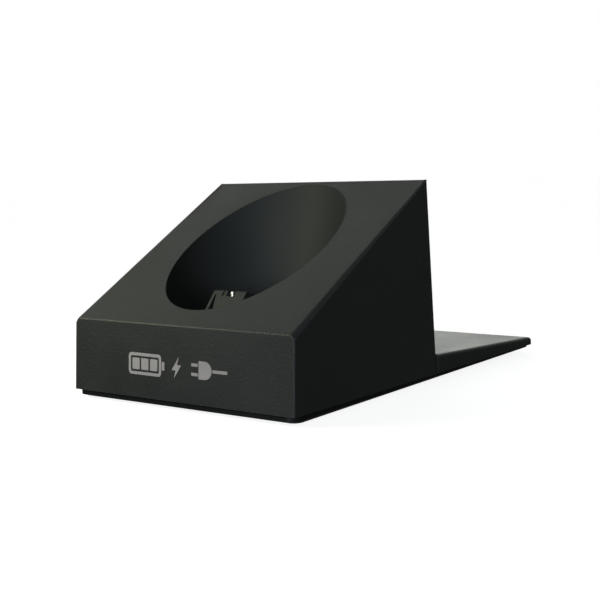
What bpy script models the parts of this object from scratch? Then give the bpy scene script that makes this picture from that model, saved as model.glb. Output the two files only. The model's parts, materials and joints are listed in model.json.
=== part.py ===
"""Charging stand for a cordless body groomer.

A wedge-shaped housing with an elliptical well in its slanted top, a low tail plate
behind it and a shallow pan underneath. A terminal block with two sprung contact
blades stands up through the well's floor, over a small circuit board.

Frame: metres, +Z up, +X to the right seen from the front, +Y from front to back.
The origin is on the surface that the feet stand on, in the middle of the outline.
"""

import math

import bmesh
import bpy
from mathutils import Matrix, Vector
from mathutils.geometry import interpolate_bezier

MM = 0.001
GAP = 0.3 * MM  # left between two pieces that touch

# Housing, measured at its lower edge
HOUSING_WIDTH = 80.0 * MM
HOUSING_DEPTH = 71.2 * MM
FRONT_HEIGHT = 20.8 * MM
REAR_HEIGHT = 58.16 * MM
FRONT_DRAFT = math.radians(3.35)
REAR_DRAFT = math.radians(3.33)
SIDE_DRAFT = math.radians(0.69)
HOUSING_WALL = 2.2 * MM
HOUSING_EDGE_RADIUS = 0.45 * MM
SLANT_CHAMFER_FRONT = 1.1 * MM  # along each slanted edge, narrower towards the top
SLANT_CHAMFER_TOP = 0.6 * MM
INNER_CORNER_RADIUS = 4.0 * MM  # inside both covers, to follow the pan's round corners
LOWER_EDGE_Z = 2.5 * MM  # of the housing and of the tail cover

# Tail plate behind the housing
TAIL_GAP = 0.5 * MM
TAIL_LENGTH = 65.25 * MM
TAIL_FRONT_TOP = 5.75 * MM  # above the lower edge
TAIL_REAR_TOP = 2.55 * MM
TAIL_EDGE_RADIUS = 1.2 * MM
TAIL_CORNER_RADIUS = 0.5 * MM
SHARP_CORNER_RADIUS = 0.2 * MM
TAIL_WALL = 2.0 * MM
TAIL_ROOF = 1.6 * MM

LENGTH = HOUSING_DEPTH + TAIL_GAP + TAIL_LENGTH
FRONT_Y = -LENGTH / 2
HOUSING_REAR_Y = FRONT_Y + HOUSING_DEPTH
TAIL_FRONT_Y = HOUSING_REAR_Y + TAIL_GAP
REAR_Y = LENGTH / 2

# Well: an elliptical bore that leans back, measured square to its own axis
WELL_LEAN = math.radians(15.0)
WELL_RADIUS_X = 24.85 * MM
WELL_RADIUS_Y = 23.94 * MM
WELL_WALL = 1.8 * MM
WELL_FLOOR_RADIUS = 3.0 * MM
WELL_FLOOR_Y = FRONT_Y + 28.75 * MM
WELL_FLOOR_Z = LOWER_EDGE_Z + 11.0 * MM
WELL_STEPS = 64

# Bottom pan
PAN_RIM_INSET = 0.5 * MM
PAN_EDGE_INSET = 1.1 * MM
PAN_FLAT_INSET = 3.5 * MM
PAN_FRONT_SETBACK = 1.25 * MM  # more inset below the front face
PAN_CORNER_RADIUS = 3.0 * MM
PAN_RIM_Z = (1.0 * MM, 2.0 * MM)  # front and rear, as in the next two
PAN_EDGE_Z = (0.4 * MM, 1.75 * MM)
PAN_FLAT_Z = (0.4 * MM, 1.0 * MM)
PAN_TOP_Z = LOWER_EDGE_Z - GAP
LIP_INSET = 2.5 * MM
LIP_WALL = 1.2 * MM
LIP_CORNER_RADIUS = 4.2 * MM
LIP_TOP_Z = 3.4 * MM
LIP_NOTCH_X = 33.0 * MM

# Feet
FOOT_RADIUS = 5.0 * MM
FOOT_HEIGHT = 1.6 * MM
FOOT_X = 24.0 * MM
FOOT_YS = {"front": FRONT_Y + 13.0 * MM, "rear": FRONT_Y + 122.0 * MM}
FOOT_PAD_TOP_Z = 3.2 * MM

# Case screws: pan-head, driven up through the pan
SCREW_HEAD_RADIUS = 2.2 * MM
SCREW_HEAD_HEIGHT = 1.2 * MM
SCREW_SHANK_RADIUS = 1.1 * MM
SCREW_HEAD_Z = 1.1 * MM
PILOT_RADIUS = 1.4 * MM
BOSS_RADIUS = 3.2 * MM
PAD_RADIUS = 3.4 * MM
HOUSING_SCREW_X = 34.0 * MM
HOUSING_SCREW_YS = {"front": FRONT_Y + 9.0 * MM, "rear": FRONT_Y + 61.0 * MM}
HOUSING_SCREW_LENGTH = 10.0 * MM
HOUSING_PAD_TOP_Z = 3.5 * MM
TAIL_SCREW_X = 33.0 * MM
TAIL_SCREW_Y = FRONT_Y + 82.0 * MM
TAIL_SCREW_LENGTH = 3.2 * MM
TAIL_PAD_TOP_Z = 3.2 * MM

# Power inlet in the housing's rear wall
INLET_Z = LOWER_EDGE_Z + 13.5 * MM
INLET_BODY_WIDTH = 9.2 * MM
INLET_BODY_HEIGHT = 9.4 * MM
INLET_BODY_LENGTH = 8.0 * MM
INLET_FACE_Y = HOUSING_REAR_Y - 3.3 * MM  # where the nose leaves the body
INLET_NOSE_RADIUS = 3.7 * MM
INLET_NOSE_LENGTH = 2.2 * MM
INLET_BORE_RADIUS = 2.75 * MM
INLET_BORE_DEPTH = 7.0 * MM  # into the body
INLET_PIN_RADIUS = 1.0 * MM

# Contact block and blades, in the well's own frame: origin at the middle of its floor,
# local z up the well's axis, local y down the floor towards the back
TOWER_HALF_WIDTH = 5.95 * MM
TOWER_TOP = 15.2 * MM
TOWER_FRONT_TOP_Y = -8.9 * MM
TOWER_FRONT_SLOPE = 0.474  # forward for each unit down
TOWER_REAR_Y = -1.0 * MM
TOWER_FRONT_FOOT_Y = TOWER_FRONT_TOP_Y - TOWER_FRONT_SLOPE * TOWER_TOP
TOWER_FLANGE_TOP = -WELL_WALL - GAP
TOWER_FLANGE_BOTTOM = -5.0 * MM
BLADE_XS = {"centre": -0.05 * MM, "left": -4.1 * MM}
BLADE_TOPS = {"centre": 15.1 * MM, "left": 12.5 * MM}
BLADE_THICKNESS = 1.3 * MM
BLADE_Y = -6.2 * MM
BLADE_DEPTH = 4.0 * MM
BLADE_TRAVEL = 1.5 * MM
BLADE_FOOT_TOP = -1.3 * MM
BLADE_FOOT_HEIGHT = 1.1 * MM
SPRING_RADIUS = 1.05 * MM
SPRING_WIRE_RADIUS = 0.15 * MM
SPRING_TURNS = 5
NOTCH_DEPTH = 1.7 * MM  # across the block's top, round the centre blade
NOTCH_LEFT = -2.44 * MM
NOTCH_RIGHT = 1.96 * MM
NOTCH_RIB = (-1.85 * MM, -0.9 * MM)
NOTCH_REAR_Y = -2.4 * MM
BOARD_TOP = -7.0 * MM
BOARD_THICKNESS = 1.2 * MM
BOARD_SCREW_X = 11.0 * MM
BOARD_SCREW_Y = -8.0 * MM
BOARD_SCREW_LENGTH = 7.3 * MM

# Ballast
BALLAST_SIZE = (64.0 * MM, 26.0 * MM, 1.5 * MM)
BALLAST_Y = FRONT_Y + 97.0 * MM
BALLAST_PEG_X = 24.0 * MM
BALLAST_PEG_RADIUS = 1.5 * MM

# Blank plate in a recess of the pan's underside
RATING_PLATE_SIZE = (36.0 * MM, 18.0 * MM, 0.25 * MM)
RATING_PLATE_Y = FRONT_Y + 40.0 * MM
RATING_PLATE_Z = 0.8 * MM

LEAD_RADIUS = 0.65 * MM
LEAD_SPACING = 2.6 * MM


# ---------------------------------------------------------------- scene and materials


def clear_scene():
    for item in list(bpy.data.objects):
        bpy.data.objects.remove(item)


def material(name, colour, roughness, metallic=0.0):
    made = bpy.data.materials.new(name)
    made.use_nodes = True
    shader = made.node_tree.nodes["Principled BSDF"]
    shader.inputs["Base Color"].default_value = (*colour, 1.0)
    shader.inputs["Roughness"].default_value = roughness
    shader.inputs["Metallic"].default_value = metallic
    made.diffuse_color = (*colour, 1.0)
    return made


def solid(name, mesh_data, look, parent=None, location=(0, 0, 0)):
    """A visible piece made from a bmesh."""
    mesh = bpy.data.meshes.new(name)
    bmesh.ops.recalc_face_normals(mesh_data, faces=mesh_data.faces[:])
    mesh_data.to_mesh(mesh)
    mesh_data.free()
    mesh.shade_smooth()
    mesh.set_sharp_from_angle(angle=math.radians(35))
    piece = bpy.data.objects.new(name, mesh)
    piece.parent = parent
    piece.location = location
    if look:
        mesh.materials.append(look)
    bpy.context.scene.collection.objects.link(piece)
    return piece


def helper(name, mesh_data, parent=None, location=(0, 0, 0)):
    """A mould or a cutter: used by Booleans and not part of the object."""
    tool = solid(name, mesh_data, None, parent, location)
    tool.hide_render = True
    tool.display_type = "WIRE"
    return tool


def boolean(piece, operation, tools, solver):
    for tool in tools:
        step = piece.modifiers.new(f"{operation.lower()} {tool.name}", "BOOLEAN")
        step.operation = operation
        step.solver = solver
        step.object = tool


def cut(piece, *tools, solver="EXACT"):
    boolean(piece, "DIFFERENCE", tools, solver)


def join(piece, *tools, solver="EXACT"):
    boolean(piece, "UNION", tools, solver)


# ------------------------------------------------------------------------- basic shapes


def add_box(bm, low, high):
    size = Vector(high) - Vector(low)
    centre = (Vector(high) + Vector(low)) / 2
    place = Matrix.Translation(centre) @ Matrix.Diagonal((*size, 1.0))
    return bmesh.ops.create_cube(bm, size=1.0, matrix=place)["verts"]


def add_rings(bm, rings):
    """One closed skin over a stack of rings with equal counts, capped at both ends."""
    made = [[bm.verts.new(point) for point in ring] for ring in rings]
    count = len(made[0])
    for lower, upper in zip(made, made[1:]):
        for i in range(count):
            j = (i + 1) % count
            bm.faces.new((lower[i], lower[j], upper[j], upper[i]))
    bm.faces.new(made[0])
    bm.faces.new(reversed(made[-1]))


def ellipse(radius_x, radius_y, z, centre=(0, 0), steps=32):
    turns = [2 * math.pi * i / steps for i in range(steps)]
    return [
        (centre[0] + radius_x * math.cos(t), centre[1] + radius_y * math.sin(t), z)
        for t in turns
    ]


def add_cylinder(bm, radius, low, high, centre=(0, 0), steps=32, chamfer_low=0, chamfer_high=0):
    rings = []
    if chamfer_low:
        rings.append(ellipse(radius - chamfer_low, radius - chamfer_low, low, centre, steps))
    rings.append(ellipse(radius, radius, low + chamfer_low, centre, steps))
    rings.append(ellipse(radius, radius, high - chamfer_high, centre, steps))
    if chamfer_high:
        rings.append(ellipse(radius - chamfer_high, radius - chamfer_high, high, centre, steps))
    add_rings(bm, rings)


def add_prism(bm, outline, low_x, high_x):
    """An outline in the YZ plane, extruded along X."""
    add_rings(bm, [[(x, y, z) for y, z in outline] for x in (low_x, high_x)])


def round_edges(bm, edges, radius, segments=3):
    bmesh.ops.bevel(
        bm, geom=edges, offset=radius, segments=segments, profile=0.5, affect="EDGES"
    )


def rounded_box(low, high, radius, segments=2):
    bm = bmesh.new()
    add_box(bm, low, high)
    round_edges(bm, bm.edges[:], radius, segments)
    return bm


def rounded_outline(half_x, y_low, y_high, radius, corner_steps=5):
    """A rectangle with round corners in plan, as (x, y) pairs."""
    corners = [
        (half_x - radius, y_low + radius, -90),
        (half_x - radius, y_high - radius, 0),
        (radius - half_x, y_high - radius, 90),
        (radius - half_x, y_low + radius, 180),
    ]
    outline = []
    for x, y, start in corners:
        for i in range(corner_steps + 1):
            angle = math.radians(start + 90 * i / corner_steps)
            outline.append((x + radius * math.cos(angle), y + radius * math.sin(angle)))
    return outline


# ------------------------------------------------------------------------------ housing


def housing_profile(inset=0.0, drop=0.0):
    """The wedge seen from the side as (y, z), from the front lower corner over the top.

    inset moves every face inwards, and drop carries the front and rear faces lower.
    """
    front_lean = math.tan(FRONT_DRAFT)
    rear_lean = math.tan(REAR_DRAFT)
    outline = [
        Vector((FRONT_Y - drop * front_lean, LOWER_EDGE_Z - drop)),
        Vector((FRONT_Y + FRONT_HEIGHT * front_lean, LOWER_EDGE_Z + FRONT_HEIGHT)),
        Vector((HOUSING_REAR_Y - REAR_HEIGHT * rear_lean, LOWER_EDGE_Z + REAR_HEIGHT)),
        Vector((HOUSING_REAR_Y + drop * rear_lean, LOWER_EDGE_Z - drop)),
    ]
    if not inset:
        return outline
    lines = []
    for start, end in zip(outline[:3], outline[1:]):
        along = (end - start).normalized()
        inwards = Vector((along.y, -along.x))
        lines.append((start + inwards * inset, along))
    bottom = (outline[0], Vector((1, 0)))
    order = [bottom, *lines, bottom]
    return [crossing(a, b) for a, b in zip(order, order[1:])]


def crossing(first, second):
    """Where two lines of the plane, each a point and a direction, meet."""
    (p, d), (q, e) = first, second
    share = (q - p).cross(e) / d.cross(e)
    return p + d * share


def half_width(z):
    return HOUSING_WIDTH / 2 - (z - LOWER_EDGE_Z) * math.tan(SIDE_DRAFT)


def chamfer_slanted_edges(bm):
    """Cuts a narrow flat along both slanted edges of the housing's shape."""
    _, low, high, _ = housing_profile()
    along = (high - low).normalized()
    narrowing = (SLANT_CHAMFER_TOP - SLANT_CHAMFER_FRONT) / (high - low).length
    for side in (-1, 1):
        place = (side * (half_width(low.y) - SLANT_CHAMFER_FRONT), *low)
        facing = Vector((side, -along.y + narrowing * along.x, along.x + narrowing * along.y))
        everything = [*bm.verts, *bm.edges, *bm.faces]
        cut_through = bmesh.ops.bisect_plane(
            bm, geom=everything, plane_co=place, plane_no=facing, clear_outer=True
        )
        rim = [e for e in cut_through["geom_cut"] if isinstance(e, bmesh.types.BMEdge)]
        bmesh.ops.edgeloop_fill(bm, edges=rim)
    bmesh.ops.recalc_face_normals(bm, faces=bm.faces[:])


def wedge(edge_radius, segments, inset=0.0, drop=0.0):
    """The housing's shape, with every edge rounded except those round its open foot."""
    bm = bmesh.new()
    outline = housing_profile(inset, drop)
    sides = [
        [(side * (half_width(z) - inset), y, z) for y, z in outline] for side in (-1, 1)
    ]
    add_rings(bm, sides)
    if not inset:
        chamfer_slanted_edges(bm)
    lowest = min(v.co.z for v in bm.verts) + 1e-6
    upper = [e for e in bm.edges if max(v.co.z for v in e.verts) > lowest]
    round_edges(bm, upper, edge_radius, segments)
    bm.faces.sort(key=lambda face: -face.calc_area())
    return bm


def well_bore(extra, low, floor_radius):
    """The well as a solid in its own frame, widened by extra, with a rounded floor edge."""
    rings = []
    steps = 4
    for i in range(steps + 1):
        angle = math.pi / 2 * i / steps
        inset = floor_radius * (1 - math.sin(angle))
        z = low + floor_radius * (1 - math.cos(angle))
        radii = (WELL_RADIUS_X + extra - inset, WELL_RADIUS_Y + extra - inset)
        rings.append(ellipse(*radii, z, steps=WELL_STEPS))
    top = ellipse(WELL_RADIUS_X + extra, WELL_RADIUS_Y + extra, 2.2 * WELL_RADIUS_X, steps=WELL_STEPS)
    rings.append(top)
    bm = bmesh.new()
    add_rings(bm, rings)
    return bm


def case_screw_places(x, ys):
    sides = (("left", -1), ("right", 1))
    return [(f"{row}_{side}", sign * x, y) for row, y in ys.items() for side, sign in sides]


def boss_moulds():
    """Four posts down the housing's corners, and the ribs that tie them to the side walls."""
    posts = bmesh.new()
    ribs = bmesh.new()
    half = 0.7 * MM
    foot = HOUSING_PAD_TOP_Z + GAP
    top = 1.2 * REAR_HEIGHT
    for _, x, y in case_screw_places(HOUSING_SCREW_X, HOUSING_SCREW_YS):
        add_cylinder(posts, BOSS_RADIUS, foot, top, (x, y), 16)
        outer = math.copysign(HOUSING_WIDTH / 2, x)
        add_box(ribs, (min(x, outer), y - half, foot), (max(x, outer), y + half, top))
    return helper("boss_posts", posts), helper("boss_ribs", ribs)


def pilot_holes(places, foot, depth):
    bm = bmesh.new()
    for _, x, y in places:
        add_cylinder(bm, PILOT_RADIUS, foot - GAP, foot + depth, (x, y), 16)
    return bm


def board_screw_cylinders(radius, low, high, steps=12):
    bm = bmesh.new()
    for side in (-1, 1):
        add_cylinder(bm, radius, low, high, (side * BOARD_SCREW_X, BOARD_SCREW_Y), steps)
    return bm


def make_housing(look, well_frame):
    core = helper("housing_core", wedge(INNER_CORNER_RADIUS, 4, HOUSING_WALL, 6 * MM))
    sleeve = helper("well_sleeve", well_bore(WELL_WALL, -WELL_WALL, 4.0 * MM), well_frame)
    boss_foot = TOWER_FLANGE_TOP - 1.2 * MM
    board_bosses = board_screw_cylinders(2.6 * MM, boss_foot, 0)
    cut(core, sleeve, *boss_moulds(), helper("board_boss_moulds", board_bosses, well_frame))

    slot = bmesh.new()
    low = (-TOWER_HALF_WIDTH - GAP, TOWER_FRONT_FOOT_Y - 2 * GAP, -4 * WELL_WALL)
    add_box(slot, low, (TOWER_HALF_WIDTH + GAP, TOWER_REAR_Y + GAP, WELL_WALL))
    inlet = bmesh.new()
    add_cylinder(inlet, INLET_NOSE_RADIUS + GAP, -4 * MM, 8 * MM)
    inlet_hole = helper("inlet_hole", inlet, location=(0, INLET_FACE_Y, INLET_Z))
    inlet_hole.rotation_euler.x = -math.pi / 2
    places = case_screw_places(HOUSING_SCREW_X, HOUSING_SCREW_YS)

    housing = solid("upper_housing", wedge(HOUSING_EDGE_RADIUS, 4), look)
    cut(
        housing,
        core,
        helper("well_bore", well_bore(0, 0, WELL_FLOOR_RADIUS), well_frame),
        helper("tower_slot", slot, well_frame),
        inlet_hole,
        helper("housing_pilots", pilot_holes(places, HOUSING_PAD_TOP_Z + GAP, HOUSING_SCREW_LENGTH)),
        helper("board_pilots", board_screw_cylinders(1.1 * MM, -8 * MM, -0.9 * MM), well_frame),
    )


# ------------------------------------------------------------------------- tail and pan


def tail_top(y):
    share = (y - TAIL_FRONT_Y) / TAIL_LENGTH
    return LOWER_EDGE_Z + TAIL_FRONT_TOP + share * (TAIL_REAR_TOP - TAIL_FRONT_TOP)


def tail_ring(inset, height, radius=TAIL_CORNER_RADIUS):
    """A ring of the tail cover; height turns a y into a z."""
    outline = rounded_outline(HOUSING_WIDTH / 2 - inset, TAIL_FRONT_Y + inset, REAR_Y - inset, radius)
    return [(x, y, height(y)) for x, y in outline]


def make_tail_cover(look):
    steps = 4
    rings = []
    for i in range(steps + 1):
        angle = math.pi / 2 * i / steps
        inset = TAIL_EDGE_RADIUS * (1 - math.sin(angle))
        fall = TAIL_EDGE_RADIUS * (1 - math.cos(angle))
        radius = max(TAIL_CORNER_RADIUS - inset, SHARP_CORNER_RADIUS)
        rings.append(tail_ring(inset, lambda y, fall=fall: tail_top(y) - fall, radius))
    rings.append(tail_ring(0, lambda y: LOWER_EDGE_Z))
    rings.append(tail_ring(TAIL_WALL, lambda y: LOWER_EDGE_Z, INNER_CORNER_RADIUS))
    rings.append(tail_ring(TAIL_WALL, lambda y: tail_top(y) - TAIL_ROOF, INNER_CORNER_RADIUS))
    bm = bmesh.new()
    add_rings(bm, rings)
    cover = solid("tail_cover", bm, look)

    places = case_screw_places(TAIL_SCREW_X, {"tail": TAIL_SCREW_Y})
    foot = TAIL_PAD_TOP_Z + GAP
    bosses = bmesh.new()
    for _, x, y in places:
        add_cylinder(bosses, BOSS_RADIUS, foot, tail_top(y) - TAIL_ROOF / 2, (x, y), 16)
    join(cover, helper("tail_bosses", bosses))
    cut(cover, helper("tail_pilots", pilot_holes(places, foot, TAIL_SCREW_LENGTH - MM)))


def along_pan(front_and_rear):
    """Turns a y into a z, from the height at the front to the height at the rear."""
    front, rear = front_and_rear
    return lambda y: front + (y - FRONT_Y) / LENGTH * (rear - front)


def pan_ring(inset, height, radius, setback=0.0):
    half_x = HOUSING_WIDTH / 2 - inset
    outline = rounded_outline(half_x, FRONT_Y + inset + setback, REAR_Y - inset, radius)
    return [(x, y, height(y)) for x, y in outline]


def pan_raised_parts():
    """Pads over the feet and round the screws, pegs for the ballast, and the inlet's rest."""
    bm = bmesh.new()
    buried = PAN_TOP_Z - 0.6 * MM
    for _, x, y in case_screw_places(HOUSING_SCREW_X, HOUSING_SCREW_YS):
        add_cylinder(bm, PAD_RADIUS, buried, HOUSING_PAD_TOP_Z, (x, y), 16)
    for _, x, y in case_screw_places(TAIL_SCREW_X, {"tail": TAIL_SCREW_Y}):
        add_cylinder(bm, PAD_RADIUS, buried, TAIL_PAD_TOP_Z, (x, y), 16)
    for _, x, y in case_screw_places(FOOT_X, FOOT_YS):
        add_cylinder(bm, FOOT_RADIUS + 1.6 * MM, buried, FOOT_PAD_TOP_Z, (x, y), 20)
    for side in (-1, 1):
        top = PAN_TOP_Z + GAP + BALLAST_SIZE[2] + 0.4 * MM
        add_cylinder(bm, BALLAST_PEG_RADIUS, buried, top, (side * BALLAST_PEG_X, BALLAST_Y), 16)
    rest_y = INLET_FACE_Y - INLET_BODY_LENGTH / 2
    rest_top = INLET_Z - INLET_BODY_HEIGHT / 2 - GAP
    add_box(bm, (-5 * MM, rest_y - 2.5 * MM, buried), (5 * MM, rest_y + 2.5 * MM, rest_top))
    return bm


def pan_recesses():
    """From below: a recess for each foot, and a counterbored hole for each screw."""
    bm = bmesh.new()
    below = -2 * MM
    for _, x, y in case_screw_places(FOOT_X, FOOT_YS):
        add_cylinder(bm, FOOT_RADIUS + GAP, below, FOOT_HEIGHT + GAP, (x, y), 24)
    places = case_screw_places(HOUSING_SCREW_X, HOUSING_SCREW_YS)
    places += case_screw_places(TAIL_SCREW_X, {"tail": TAIL_SCREW_Y})
    for _, x, y in places:
        seat = SCREW_HEAD_Z + SCREW_HEAD_HEIGHT + GAP
        add_rings(
            bm,
            [
                ellipse(SCREW_HEAD_RADIUS + GAP, SCREW_HEAD_RADIUS + GAP, below, (x, y), 16),
                ellipse(SCREW_HEAD_RADIUS + GAP, SCREW_HEAD_RADIUS + GAP, seat, (x, y), 16),
                ellipse(SCREW_SHANK_RADIUS + GAP, SCREW_SHANK_RADIUS + GAP, seat, (x, y), 16),
                ellipse(SCREW_SHANK_RADIUS + GAP, SCREW_SHANK_RADIUS + GAP, 6 * MM, (x, y), 16),
            ],
        )
    return bm


def make_base_pan(look):
    level = along_pan((PAN_TOP_Z, PAN_TOP_Z))
    lip_level = along_pan((LIP_TOP_Z, LIP_TOP_Z))
    edge_radius = PAN_CORNER_RADIUS + PAN_RIM_INSET - PAN_EDGE_INSET
    lip_inner_radius = LIP_CORNER_RADIUS - LIP_WALL
    rings = [
        pan_ring(PAN_FLAT_INSET, along_pan(PAN_FLAT_Z), MM, PAN_FRONT_SETBACK),
        pan_ring(PAN_EDGE_INSET, along_pan(PAN_EDGE_Z), edge_radius, PAN_FRONT_SETBACK),
        pan_ring(PAN_RIM_INSET, along_pan(PAN_RIM_Z), PAN_CORNER_RADIUS),
        pan_ring(PAN_RIM_INSET, level, PAN_CORNER_RADIUS),
        pan_ring(LIP_INSET, level, LIP_CORNER_RADIUS),
        pan_ring(LIP_INSET, lip_level, LIP_CORNER_RADIUS),
        pan_ring(LIP_INSET + LIP_WALL, lip_level, lip_inner_radius),
        pan_ring(LIP_INSET + LIP_WALL, level, lip_inner_radius),
    ]
    bm = bmesh.new()
    add_rings(bm, rings)
    pan = solid("base_pan", bm, look)
    join(pan, helper("pan_raised_parts", pan_raised_parts()))

    lip_notches = bmesh.new()  # where the two covers' end walls stand
    start = HOUSING_REAR_Y - HOUSING_WALL - INNER_CORNER_RADIUS
    end = TAIL_FRONT_Y + TAIL_WALL + INNER_CORNER_RADIUS
    for low_x, high_x in ((-HOUSING_WIDTH, -LIP_NOTCH_X), (LIP_NOTCH_X, HOUSING_WIDTH)):
        add_box(lip_notches, (low_x, start, PAN_TOP_Z), (high_x, end, 2 * LIP_TOP_Z))
    plate_recess = bmesh.new()
    half = [size / 2 + GAP for size in RATING_PLATE_SIZE]
    top = RATING_PLATE_Z + RATING_PLATE_SIZE[2] + GAP
    low = (-half[0], RATING_PLATE_Y - half[1], -MM)
    add_box(plate_recess, low, (half[0], RATING_PLATE_Y + half[1], top))
    cut(
        pan,
        helper("lip_notches", lip_notches),
        helper("pan_recesses", pan_recesses()),
        helper("plate_recess", plate_recess),
    )


# -------------------------------------------------------------------- screws, feet, etc.


def screw_mesh(name, head_radius, head_height, shank_radius, length):
    """Pan-head screw, head down, its seat at z = 0, with a cross recess in the head."""
    bm = bmesh.new()
    rim = 0.35 * head_height
    rings = [
        ellipse(0.72 * head_radius, 0.72 * head_radius, -head_height, steps=16),
        ellipse(head_radius, head_radius, -head_height + rim, steps=16),
        ellipse(head_radius, head_radius, 0, steps=16),
        ellipse(shank_radius, shank_radius, 0, steps=16),
        ellipse(shank_radius, shank_radius, length - shank_radius, steps=16),
        ellipse(0.3 * shank_radius, 0.3 * shank_radius, length, steps=16),
    ]
    add_rings(bm, rings)
    bmesh.ops.recalc_face_normals(bm, faces=bm.faces[:])
    mesh = bpy.data.meshes.new(name)
    bm.to_mesh(mesh)
    bm.free()
    mesh.shade_smooth()
    mesh.set_sharp_from_angle(angle=math.radians(35))
    return mesh


def cross_recess(head_radius, head_height):
    """Two crossed slots; they meet in one body."""
    bm = bmesh.new()
    arm = 0.5 * head_radius
    half = 0.12 * head_radius
    low, high = -1.5 * head_height, -0.45 * head_height
    outline = []
    for turn in range(4):
        spin = Matrix.Rotation(turn * math.pi / 2, 2)
        for corner in ((half, -half), (arm, -half), (arm, half)):
            outline.append(spin @ Vector(corner))
    add_rings(bm, [[(x, y, z) for x, y in outline] for z in (low, high)])
    return bm


def place_screws(prefix, mesh, look, recess_size, places, z, parent=None):
    mesh.materials.append(look)
    for label, x, y in places:
        name = f"{prefix}_{label}"
        screw = bpy.data.objects.new(name, mesh)
        screw.parent = parent
        screw.location = (x, y, z)
        bpy.context.scene.collection.objects.link(screw)
        cut(screw, helper(f"{name}_recess", cross_recess(*recess_size), parent, (x, y, z)))


def make_screws(look, well_frame):
    head = (SCREW_HEAD_RADIUS, SCREW_HEAD_HEIGHT)
    seat = SCREW_HEAD_Z + SCREW_HEAD_HEIGHT
    long_mesh = screw_mesh("housing_screw", *head, SCREW_SHANK_RADIUS, HOUSING_SCREW_LENGTH)
    places = case_screw_places(HOUSING_SCREW_X, HOUSING_SCREW_YS)
    place_screws("housing_screw", long_mesh, look, head, places, seat)
    short_mesh = screw_mesh("tail_screw", *head, SCREW_SHANK_RADIUS, TAIL_SCREW_LENGTH)
    places = [("left", -TAIL_SCREW_X, TAIL_SCREW_Y), ("right", TAIL_SCREW_X, TAIL_SCREW_Y)]
    place_screws("tail_screw", short_mesh, look, head, places, seat)
    head = (2.0 * MM, 1.1 * MM)
    board_mesh = screw_mesh("board_screw", *head, 0.8 * MM, BOARD_SCREW_LENGTH)
    places = [("left", -BOARD_SCREW_X, BOARD_SCREW_Y), ("right", BOARD_SCREW_X, BOARD_SCREW_Y)]
    seat = BOARD_TOP - BOARD_THICKNESS - GAP
    place_screws("board_screw", board_mesh, look, head, places, seat, well_frame)


def make_feet(look):
    for label, x, y in case_screw_places(FOOT_X, FOOT_YS):
        bm = bmesh.new()
        add_cylinder(bm, FOOT_RADIUS, 0, FOOT_HEIGHT, steps=24, chamfer_low=0.4 * MM)
        solid(f"rubber_foot_{label}", bm, look, location=(x, y, 0))


def make_rating_plate(look):
    x, y, thickness = RATING_PLATE_SIZE
    bm = bmesh.new()
    outline = rounded_outline(x / 2, -y / 2, y / 2, 1.5 * MM, 4)
    add_rings(bm, [[(px, py, z) for px, py in outline] for z in (0, thickness)])
    solid("rating_plate", bm, look, location=(0, RATING_PLATE_Y, RATING_PLATE_Z))


def make_ballast(look):
    x, y, thickness = BALLAST_SIZE
    bm = bmesh.new()
    outline = rounded_outline(x / 2, -y / 2, y / 2, 3 * MM, 4)
    add_rings(bm, [[(px, py, z) for px, py in outline] for z in (0, thickness)])
    place = (0, BALLAST_Y, PAN_TOP_Z + GAP)
    plate = solid("ballast_plate", bm, look, location=place)
    holes = bmesh.new()
    for side in (-1, 1):
        centre = (side * BALLAST_PEG_X, 0)
        add_cylinder(holes, BALLAST_PEG_RADIUS + GAP, -MM, 3 * MM, centre, 16)
    cut(plate, helper("ballast_holes", holes, location=place))


# -------------------------------------------------------------------------- power inlet


def make_inlet(plastic, metal):
    """Barrel socket: local z runs out of its mouth, towards the back of the stand."""
    frame = bpy.data.objects.new("inlet_frame", None)
    frame.location = (0, INLET_FACE_Y, INLET_Z)
    frame.rotation_euler.x = -math.pi / 2
    bpy.context.scene.collection.objects.link(frame)

    half = (INLET_BODY_WIDTH / 2, INLET_BODY_HEIGHT / 2)
    low = (-half[0], -half[1], -INLET_BODY_LENGTH)
    jack = solid("inlet_jack", rounded_box(low, (half[0], half[1], 0), 0.4 * MM), plastic, frame)
    nose = bmesh.new()
    add_cylinder(nose, INLET_NOSE_RADIUS, -MM, INLET_NOSE_LENGTH, chamfer_high=0.3 * MM)
    join(jack, helper("inlet_nose", nose, frame))
    bore = bmesh.new()
    add_cylinder(bore, INLET_BORE_RADIUS, -INLET_BORE_DEPTH, 4 * MM)
    cut(jack, helper("inlet_bore", bore, frame))

    pin = bmesh.new()
    start = -INLET_BORE_DEPTH + GAP
    add_cylinder(pin, INLET_PIN_RADIUS, start, MM, steps=20, chamfer_high=0.5 * MM)
    solid("inlet_pin", pin, metal, frame)
    for name, height in (("inlet_tab_positive", -1), ("inlet_tab_negative", 1)):
        y = height * LEAD_SPACING / 2
        x = half[0] + GAP
        low = (x, y - 0.3 * MM, -5.5 * MM)
        tab = rounded_box(low, (x + 2 * MM, y + 0.3 * MM, -3.5 * MM), 0.1 * MM, 1)
        solid(name, tab, metal, frame)


# ---------------------------------------------------------------- contact block and board


def tower_blank():
    """Side view of the block: sloping front, top square to the well, and a flange below."""
    bm = bmesh.new()
    outline = [
        (TOWER_FRONT_FOOT_Y, TOWER_FLANGE_BOTTOM + MM),
        (TOWER_FRONT_FOOT_Y, 0),
        (TOWER_FRONT_TOP_Y, TOWER_TOP),
        (TOWER_REAR_Y, TOWER_TOP),
        (TOWER_REAR_Y, TOWER_FLANGE_BOTTOM + MM),
    ]
    add_prism(bm, outline, -TOWER_HALF_WIDTH, TOWER_HALF_WIDTH)
    top = [e for e in bm.edges if min(v.co.z for v in e.verts) > TOWER_TOP - 1e-6]
    round_edges(bm, top, 0.25 * MM, 2)
    return bm


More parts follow.
